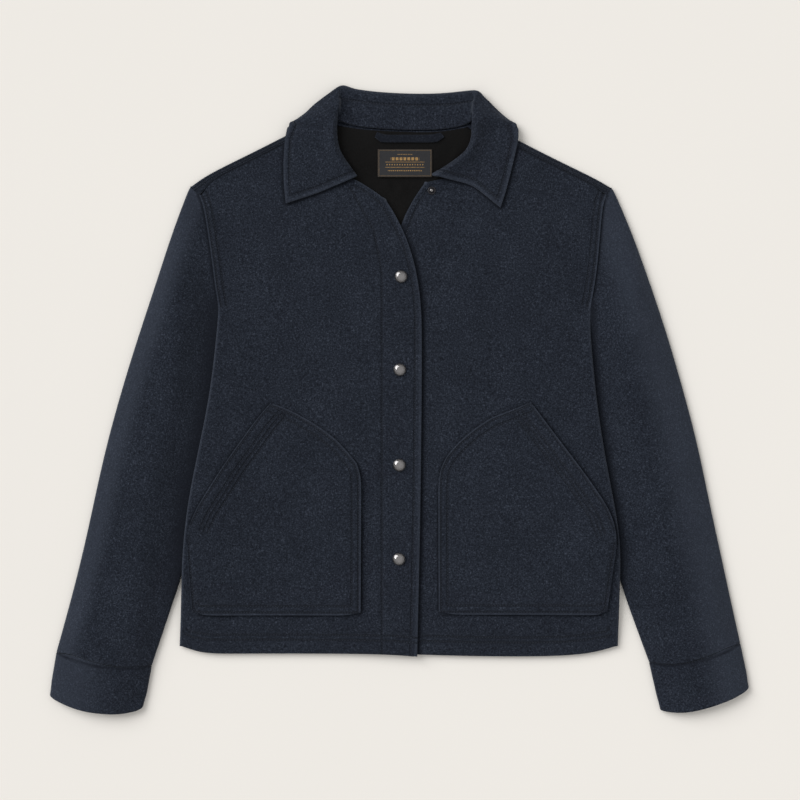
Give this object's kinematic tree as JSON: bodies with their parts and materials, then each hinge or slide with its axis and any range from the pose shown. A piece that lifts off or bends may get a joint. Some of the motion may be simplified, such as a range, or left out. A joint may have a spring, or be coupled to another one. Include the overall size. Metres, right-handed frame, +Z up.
{
  "type": "wool snap jacket, laid flat",
  "caption": "Cropped wool jacket laid flat, with a pointed collar, snap front, curved patch pockets and plain wide cuffs.",
  "frame": {"origin": "middle of the laid-out jacket, on the surface it lies on", "axes": "+Z up from the surface, +Y towards the collar, +X towards the wearer's left sleeve"},
  "size_m": [0.827, 0.7401, 0.0226],
  "materials": {
    "wool": "milled wool, heathered navy, matt with a short nap",
    "lining": "smooth black lining, slightly lustrous",
    "label": "woven label, dark, with plain gold stripes",
    "snap": "polished dark nickel"
  },
  "bodies": {
    "root": {"back": "wool", "front_right": "wool", "front_left": "wool", "sleeve_right": "wool", "sleeve_left": "wool", "cuff_right": "wool", "cuff_left": "wool", "collar": "wool", "pocket_right": "wool", "pocket_left": "wool", "lining_back": "lining", "hanger_loop": "wool", "label": "label", "snap_cap_1": "snap", "snap_cap_2": "snap", "snap_cap_3": "snap", "snap_cap_4": "snap", "snap_stud": "snap"}
  },
  "joints": []
}
